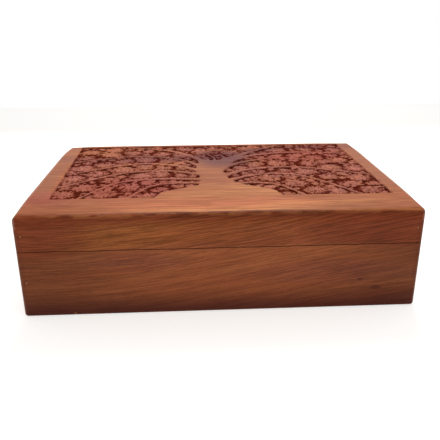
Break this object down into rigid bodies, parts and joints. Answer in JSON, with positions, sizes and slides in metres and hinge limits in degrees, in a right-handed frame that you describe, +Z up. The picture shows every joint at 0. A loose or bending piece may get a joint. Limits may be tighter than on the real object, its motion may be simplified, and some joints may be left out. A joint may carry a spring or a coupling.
{
  "type": "wooden keepsake box",
  "caption": "Low rectangular wooden keepsake box with a hinged lid, a tree carved in relief on top, butt hinges at the back and a bottom panel let into a rebate.",
  "frame": {"origin": "middle of the underside of the base", "axes": "+X to the right seen from the front, along the longest side; +Y to the hinged back; +Z up"},
  "size_m": [0.25, 0.175, 0.067],
  "materials": {
    "top_wood": "waxed rosewood, lighter and redder than the sides, carved",
    "lid_wood": "satin waxed rosewood with dark streaks",
    "base_wood": "satin waxed rosewood with dark streaks",
    "panel_wood": "plain sanded panel",
    "hinge_brass": "satin brass",
    "nail_steel": "dull steel nail heads"
  },
  "bodies": {
    "base": {"base_front_board": "base_wood", "base_back_board": "base_wood", "base_left_board": "base_wood", "base_right_board": "base_wood", "base_bottom_panel": "panel_wood", "left_hinge_base_leaf": "hinge_brass", "left_hinge_pin": "hinge_brass", "right_hinge_base_leaf": "hinge_brass", "right_hinge_pin": "hinge_brass", "base_hinge_screw_1": "hinge_brass", "base_hinge_screw_2": "hinge_brass", "base_hinge_screw_3": "hinge_brass", "base_hinge_screw_4": "hinge_brass", "base_brad_front_left": "nail_steel", "base_brad_front_right": "nail_steel", "base_brad_back_left": "nail_steel", "base_brad_back_right": "nail_steel", "panel_pin_1": "nail_steel", "panel_pin_2": "nail_steel", "panel_pin_3": "nail_steel", "panel_pin_4": "nail_steel", "panel_pin_5": "nail_steel", "panel_pin_6": "nail_steel", "panel_pin_7": "nail_steel", "panel_pin_8": "nail_steel"},
    "lid": {"lid_front_rail": "lid_wood", "lid_back_rail": "lid_wood", "lid_left_rail": "lid_wood", "lid_right_rail": "lid_wood", "lid_top_board": "top_wood", "left_hinge_lid_leaf": "hinge_brass", "right_hinge_lid_leaf": "hinge_brass", "lid_hinge_screw_1": "hinge_brass", "lid_hinge_screw_2": "hinge_brass", "lid_hinge_screw_3": "hinge_brass", "lid_hinge_screw_4": "hinge_brass", "lid_brad_front_left": "nail_steel", "lid_brad_front_right": "nail_steel", "lid_brad_back_left": "nail_steel", "lid_brad_back_right": "nail_steel"}
  },
  "joints": [
    {"name": "lid_hinge", "type": "hinge", "parent": "base", "child": "lid", "pos_m": [0, 0.084, 0.04415], "axis": [-1, 0, 0], "range_deg": [0, 100]}
  ]
}
